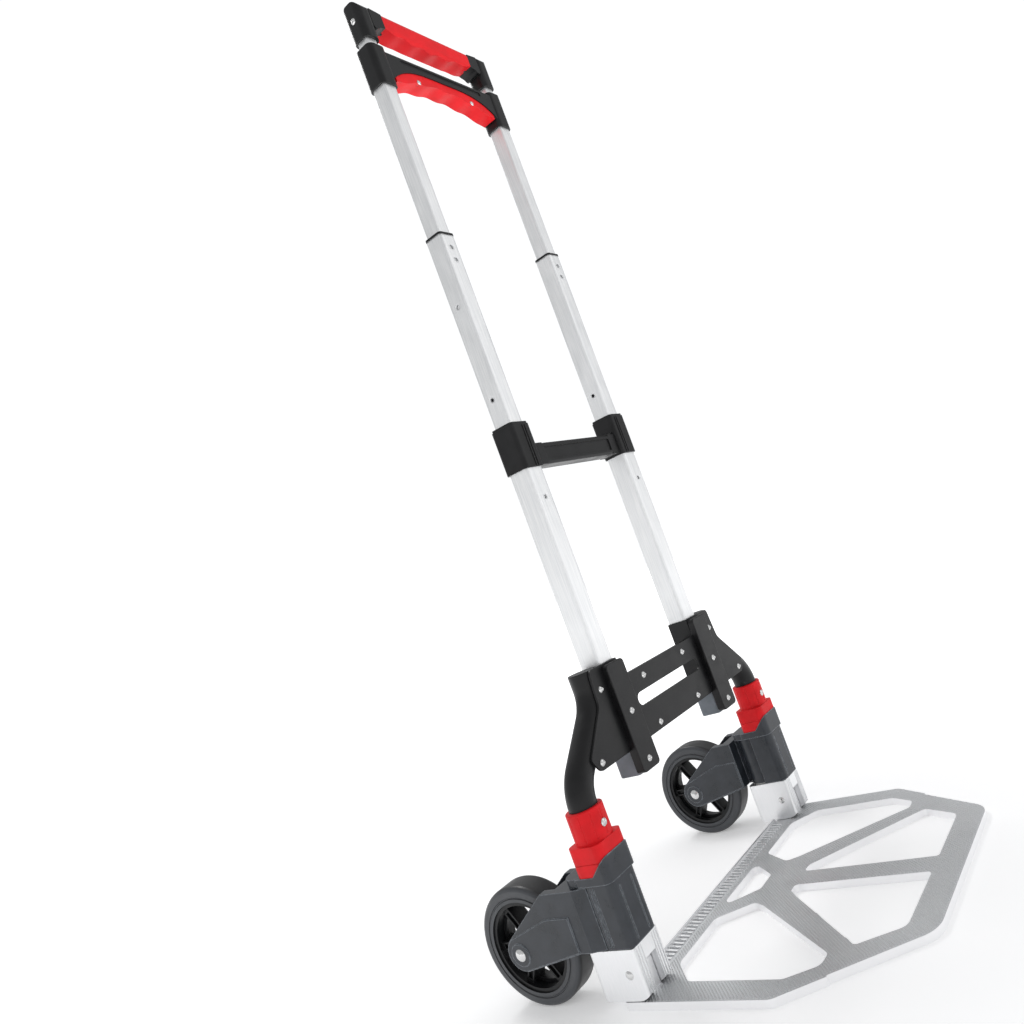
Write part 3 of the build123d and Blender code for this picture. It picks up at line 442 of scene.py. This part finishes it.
tyre_low, tyre_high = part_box("tyre_left")
axle = (tyre_low + tyre_high) / 2
finishes["tyre_rubber"] = tyre_rubber(axle.y, axle.z)
print("axle at", [round(v, 4) for v in axle], "finishes:", len(finishes))

# %% [markdown]
# ### Dressing the CAD nodes
# Each node arrives with a plain material named after the slot that it was given in CAD. Our
# finishes have the same names, so each plain one can be swapped for its finish in a loop.

# %% Put the finishes on
for node in nodes.values():
    for place in node.material_slots:
        place.material = finishes[place.material.name.split(".")[0]].material
print("nodes dressed:", len(nodes))

# %% [markdown]
# ## Geometry Nodes for what repeats
# A tree is written once with named inputs for its sizes, so the same tree could make finer
# lines or a longer spring. Every tree ends the same way, in real geometry with one material.


# %% A tree with named inputs
class Shaper(Graph):
    """A Geometry Nodes tree with named inputs and one geometry output."""

    def __init__(self, name, inputs):
        tree = bpy.data.node_groups.new(name, "GeometryNodeTree")
        super().__init__(tree, "GeometryNode")
        for label, kind, value in (*inputs, ("Material", "Material", None)):
            socket = tree.interface.new_socket(label, in_out="INPUT",
                                               socket_type="NodeSocket" + kind)
            if value is not None:
                socket.default_value = value
        tree.interface.new_socket("Mesh", in_out="OUTPUT", socket_type="NodeSocketGeometry")
        self.given = tree.nodes.new("NodeGroupInput").outputs
        print(name, "inputs:", [item[0] for item in inputs])

    def part(self, vector, axis):
        """One coordinate of a vector."""
        return self.add("ShaderNodeSeparateXYZ", {0: vector}, out=axis)

    def along(self, **sides):
        """A vector from the coordinates that are given, 0 elsewhere."""
        return self.add("ShaderNodeCombineXYZ", sides)

    def compare(self, a, operation, b, **more):
        sides = {0: a, 1: b, **more}
        return self.add("FunctionNodeCompare", sides, data_type="FLOAT", operation=operation)

    def logic(self, operation, a, *b):
        return self.add("FunctionNodeBooleanMath", dict(enumerate((a, *b))), operation=operation)

    def close(self, geometry):
        """Ends the tree: real geometry, one material."""
        real = self.add("RealizeInstances", {0: geometry})
        dressed = self.add("SetMaterial", {"Geometry": real, "Material": self.given["Material"]})
        self.tree.links.new(dressed, self.tree.nodes.new("NodeGroupOutput").inputs[0])
        return self.tree


print("a Shaper adds:", [name for name in vars(Shaper) if not name.startswith("_")])

# %% [markdown]
# ### Growing a piece
# The tree goes on a helper object as a modifier, and its inputs are set by their identifiers
# before anything is evaluated. The result is copied to a plain mesh at the origin, and the
# helper is thrown away, so that no modifier is left on the piece.


# %% Grow
def grow(name, tree, body, slot, replaced=(), start=None, **inputs):
    """Runs a tree once and keeps the result as a plain piece of the object."""
    holder = bpy.data.objects.new(name + "_maker", start or bpy.data.meshes.new(name + "_start"))
    scene.collection.objects.link(holder)
    modifier = holder.modifiers.new("shape", "NODES")
    modifier.node_group = tree
    inputs = {label.replace("_", " "): value for label, value in inputs.items()}
    inputs["Material"] = finishes[slot].material
    for item in tree.interface.items_tree:
        if item.in_out == "INPUT" and item.name in inputs:
            modifier[item.identifier] = inputs[item.name]
    holder.update_tag()
    shaped = holder.evaluated_get(bpy.context.evaluated_depsgraph_get())
    mesh = bpy.data.meshes.new_from_object(shaped)
    mesh.name = name
    bpy.data.objects.remove(holder)
    piece = bpy.data.objects.new(name, mesh)
    scene.collection.objects.link(piece)
    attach(piece, body)
    if replaced:
        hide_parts(*replaced)
    print(name, "faces:", len(mesh.polygons))
    return piece


print("a grown piece can take any of", len(finishes), "finishes")

# %% [markdown]
# ### Grip lines: rows of points
# The top of the plate is covered with fine raised lines, all at 45 degrees, so that boxes don't
# slide. They could be a bump map, but lines this regular catch the light as real ridges. The
# tree starts by laying long rows of points over the whole plate.

# %% Rows over the plate
LINE_ANGLE = math.radians(-45)


def rows_of_points(g):
    """Rows of linked points, centred on the plate and turned to the lines' angle."""
    given = g.given
    row = g.add("MeshLine", {"Count": given["Points"], "Offset": g.along(Y=given["Step"])})
    starts = g.add("MeshLine", {"Count": given["Rows"], "Offset": g.along(X=given["Pitch"])})
    rows = g.add("InstanceOnPoints", {"Points": starts, "Instance": row})
    rows = g.add("RealizeInstances", {0: rows})
    half_rows = g.maths("MULTIPLY", g.maths("MULTIPLY", given["Rows"], given["Pitch"]), -0.5)
    half_run = g.maths("MULTIPLY", g.maths("MULTIPLY", given["Points"], given["Step"]), -0.5)
    to_middle = g.along(X=half_rows, Y=half_run)
    centred = g.add("Transform", {"Geometry": rows, "Translation": to_middle})
    return g.add("Transform", {"Geometry": centred, "Translation": given["Middle"],
                               "Rotation": (0, 0, LINE_ANGLE)})


print("grip lines run at", round(abs(math.degrees(LINE_ANGLE))), "degrees to the plate's sides")

# %% [markdown]
# ### Grip lines: only on the deck
# Most of those points hang over a window or beyond the edge. A ray straight down from above
# each one tells us what is below it, and points that don't find the flat deck are deleted.

# %% Off the deck
LOOK_FROM = (0, 0, 0.1)
SAME_HEIGHT = 0.0002


def on_the_deck(g, rows):
    """Drops the points that miss the deck or lie behind the back limit."""
    given = g.given
    plate = g.add("ObjectInfo", {"Object": given["Plate"]}, out="Geometry")
    here = g.add("InputPosition")
    above = g.add("ShaderNodeVectorMath", {0: here, 1: LOOK_FROM}, operation="ADD")
    look = g.add("Raycast", {"Target Geometry": plate, "Source Position": above,
                             "Ray Direction": (0, 0, -1), "Ray Length": 1.0}).node.outputs
    hit_height = g.part(look["Hit Position"], "Z")
    off = g.compare(hit_height, "NOT_EQUAL", given["Deck"], Epsilon=SAME_HEIGHT)
    missed = g.logic("NOT", look["Is Hit"])
    behind = g.compare(g.part(here, "Y"), "GREATER_THAN", given["Back limit"])
    drop = g.logic("OR", g.logic("OR", off, missed), behind)
    return g.add("DeleteGeometry", {"Geometry": rows, "Selection": drop}, domain="POINT")


print("a hit within", SAME_HEIGHT * 1000, "mm of the deck's height counts as the deck")

# %% [markdown]
# ### Grip lines: the ridges
# What is left of each row becomes a curve. Scraps too short to see are dropped, the ends are
# trimmed back from the edge of the deck, and a low trapezoid is swept along each line. Half
# of the trapezoid is sunk in the deck, so that no gap can show under a ridge.

# %% Grip lines
DECK_Z = 0.008
SHORTEST_IN_TRIMS = 4.0
RIDGE_TOP_SHARE = 0.45
LIP_FRONT, LIP_CLEAR = 0.0565, 0.0145


def ridges_along(g, kept):
    """Low ridges along what is left of the rows."""
    given = g.given
    lines = g.add("MeshToCurve", {"Mesh": kept})
    length = g.add("SplineLength", out="Length")
    short = g.compare(length, "LESS_THAN",
                      g.maths("MULTIPLY", given["Trim"], SHORTEST_IN_TRIMS))
    lines = g.add("DeleteGeometry", {"Geometry": lines, "Selection": short}, domain="CURVE")
    end = g.maths("SUBTRACT", g.add("SplineLength", out="Length"), given["Trim"])
    lines = g.add("TrimCurve", {"Curve": lines, 4: given["Trim"], 5: end}, mode="LENGTH")
    lines = g.add("ResampleCurve", {"Curve": lines, "Count": 2})
    profile = g.add("CurvePrimitiveQuadrilateral", {
        "Bottom Width": given["Width"],
        "Top Width": g.maths("MULTIPLY", given["Width"], RIDGE_TOP_SHARE),
        "Height": g.maths("MULTIPLY", given["Height"], 2.0), "Offset": 0.0}, mode="TRAPEZOID")
    return g.add("CurveToMesh", {"Curve": lines, "Profile Curve": profile, "Fill Caps": True})


def grip_line_tree():
    g = Shaper("grip_lines", [
        ("Plate", "Object", None), ("Pitch", "Float", 0.0026), ("Step", "Float", 0.001),
        ("Width", "Float", 0.0012), ("Height", "Float", 0.0003), ("Deck", "Float", DECK_Z),
        ("Back limit", "Float", 1.0), ("Middle", "Vector", (0, 0, 0)), ("Rows", "Int", 190),
        ("Points", "Int", 480), ("Trim", "Float", 0.0014)])
    return g.close(ridges_along(g, on_the_deck(g, rows_of_points(g))))


plate_low, plate_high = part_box("toe_plate")
grip_lines = grow("grip_lines", grip_line_tree(), "toe_plate", "plate_aluminium",
                  Plate=nodes["toe_plate"], Back_limit=LIP_FRONT - LIP_CLEAR,
                  Middle=(0, (plate_low.y + plate_high.y) / 2, DECK_Z))
line_box = (*grip_lines.bound_box[0], *grip_lines.bound_box[6])
print("grip line box", [round(v, 4) for v in line_box])

# %% [markdown]
# ### Ribs behind the lip
# Along the back edge of the plate a low lip is backed by a ladder of small cast ribs that
# people's shoes polish. One ramp-shaped rib is drawn once and the tree repeats it along a line
# of points; every second one caps a gusset of the CAD plate.

# %% Lip ribs
RIB_COUNT, RIB_GAP = 47, 0.006
RIB_WIDE, RIB_LONG, RIB_TALL = 0.0027, 0.0125, 0.0036
RIB_LIFT = 0.0007


def ladder_tree():
    """A row of blocks whose front top edge slopes down."""
    g = Shaper("ladder", [
        ("Count", "Int", RIB_COUNT), ("Gap", "Float", RIB_GAP), ("Start", "Vector", (0, 0, 0)),
        ("Rib size", "Vector", (RIB_WIDE, RIB_LONG, RIB_TALL)), ("Slope", "Float", 0.35)])
    given = g.given
    rib = g.add("MeshCube", {"Size": given["Rib size"]})
    here = g.add("InputPosition")
    front_top = g.logic("AND", g.compare(g.part(here, "Y"), "LESS_THAN", 0.0),
                        g.compare(g.part(here, "Z"), "GREATER_THAN", 0.0))
    fall = g.maths("MULTIPLY", g.part(given["Rib size"], "Z"), given["Slope"])
    ramp = g.add("SetPosition", {"Geometry": rib, "Selection": front_top,
                                 "Offset": g.along(Z=g.maths("MULTIPLY", fall, -1.0))})
    line = g.add("MeshLine", {"Count": given["Count"], "Start Location": given["Start"],
                              "Offset": g.along(X=given["Gap"])})
    return g.close(g.add("InstanceOnPoints", {"Points": line, "Instance": ramp}))


first_rib = -(RIB_COUNT - 1) / 2 * RIB_GAP
grow("lip_ribs", ladder_tree(), "toe_plate", "foot_aluminium",
     Start=(first_rib, LIP_FRONT - RIB_LONG / 2, DECK_Z + RIB_LIFT))

# %% [markdown]
# ### Finding the rivet heads
# The bracket is held by pop rivets, and their heads are CAD parts. One CAD node holds many
# heads, so the points on the heads' front faces are sorted into groups that lie close
# together, and the middle of each group is the middle of a head.

# %% Rivet heads
HEAD_TALL, HEAD_WIDE = 0.0017, 0.0036
FRONT_SHARE = 0.6


def beside(a, b):
    """Whether two points are on the same head, seen from the front."""
    return (Vector((a[0], a[2])) - Vector((b[0], b[2]))).length < 2 * HEAD_WIDE


def head_centres(name):
    """The middle of the front of each rivet head in a CAD node."""
    points = [v.co for v in nodes[name].data.vertices]
    front = min(co.y for co in points)
    heads = {}
    for co in points:
        if co.y < front + HEAD_TALL * FRONT_SHARE:
            near = next((k for k in heads if beside(k, co)), tuple(co))
            heads.setdefault(near, []).append(co)
    return [Vector((sum(c.x for c in found) / len(found), front,
                    sum(c.z for c in found) / len(found))) for found in heads.values()]


heads = [c for name in ("strap_rivets", "bracket_rivets", "wing_rivets")
         for c in head_centres(name)]
print("rivet heads:", len(heads))

# %% [markdown]
# ### Rivet centres
# Pulling a pop rivet breaks its pin off inside a small crater, which is what you see in the
# middle of every head. The tree puts a rolled ring and a snapped pin on top of each one,
# turned to face forwards.

# %% Rivet centres
FORWARDS = (math.radians(90), 0, 0)
PIN_TAPER, PIN_DEPTH_IN_ROLLS = 0.55, 1.1


def pin_tree():
    """A ring with a blunt pin in it, once on each point."""
    g = Shaper("rivet_pin", [
        ("Heads", "Geometry", None), ("Ring", "Float", 0.0013), ("Roll", "Float", 0.00042),
        ("Pin", "Float", 0.0008), ("Sides", "Int", 20)])
    given = g.given
    path = g.add("CurvePrimitiveCircle", {"Resolution": given["Sides"], "Radius": given["Ring"]},
                 mode="RADIUS")
    roll = g.add("CurvePrimitiveCircle", {"Resolution": 8, "Radius": given["Roll"]},
                 mode="RADIUS")
    ring = g.add("CurveToMesh", {"Curve": path, "Profile Curve": roll})
    pin = g.add("MeshCone", {
        "Vertices": given["Sides"], "Side Segments": 2,
        "Radius Top": g.maths("MULTIPLY", given["Pin"], PIN_TAPER),
        "Radius Bottom": given["Pin"],
        "Depth": g.maths("MULTIPLY", given["Roll"], PIN_DEPTH_IN_ROLLS)})
    both = g.add("JoinGeometry")
    for piece in (ring, pin):
        g.tree.links.new(piece, both.node.inputs[0])
    facing = g.add("Transform", {"Geometry": both, "Rotation": FORWARDS})
    return g.close(g.add("InstanceOnPoints", {"Points": given["Heads"], "Instance": facing}))


head_points = bpy.data.meshes.new("rivet_head_points")
head_points.from_pydata(heads, [], [])
grow("rivet_pins", pin_tree(), "frame", "bright_steel", start=head_points)

# %% [markdown]
# ### Return springs
# A coil spring inside each inner tube lifts the release rod again. A spiral curve swept with a
# round wire is exactly how it is wound, so the CAD spring gives way to one whose turns, wire
# and height are inputs of a tree.

# %% Return springs
WIRE = 0.0008
spring_low, spring_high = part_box("return_springs")


def spring_tree():
    """A coil of round wire, once on each point."""
    g = Shaper("return_spring", [
        ("Seats", "Geometry", None), ("Turns", "Float", 8.0), ("Radius", "Float", 0.005),
        ("Wire", "Float", WIRE), ("Height", "Float", 0.022)])
    given = g.given
    coil = g.add("CurveSpiral", {
        "Resolution": 28, "Rotations": given["Turns"], "Start Radius": given["Radius"],
        "End Radius": given["Radius"], "Height": given["Height"]})
    wire = g.add("CurvePrimitiveCircle", {"Resolution": 10, "Radius": given["Wire"]},
                 mode="RADIUS")
    spring = g.add("CurveToMesh", {"Curve": coil, "Profile Curve": wire, "Fill Caps": True})
    return g.close(g.add("InstanceOnPoints", {"Points": given["Seats"], "Instance": spring}))


spring_radius = (spring_high.y - spring_low.y) / 2 - WIRE
seat_x = spring_high.x - spring_radius - WIRE
seat_y = (spring_low.y + spring_high.y) / 2
seats = bpy.data.meshes.new("spring_seat_points")
seats.from_pydata([(side * seat_x, seat_y, spring_low.z + WIRE) for side in (-1, 1)], [], [])
grow("coil_springs", spring_tree(), "inner_tubes", "spring_steel", ("return_springs",), seats,
     Radius=spring_radius, Height=spring_high.z - spring_low.z - 2 * WIRE)
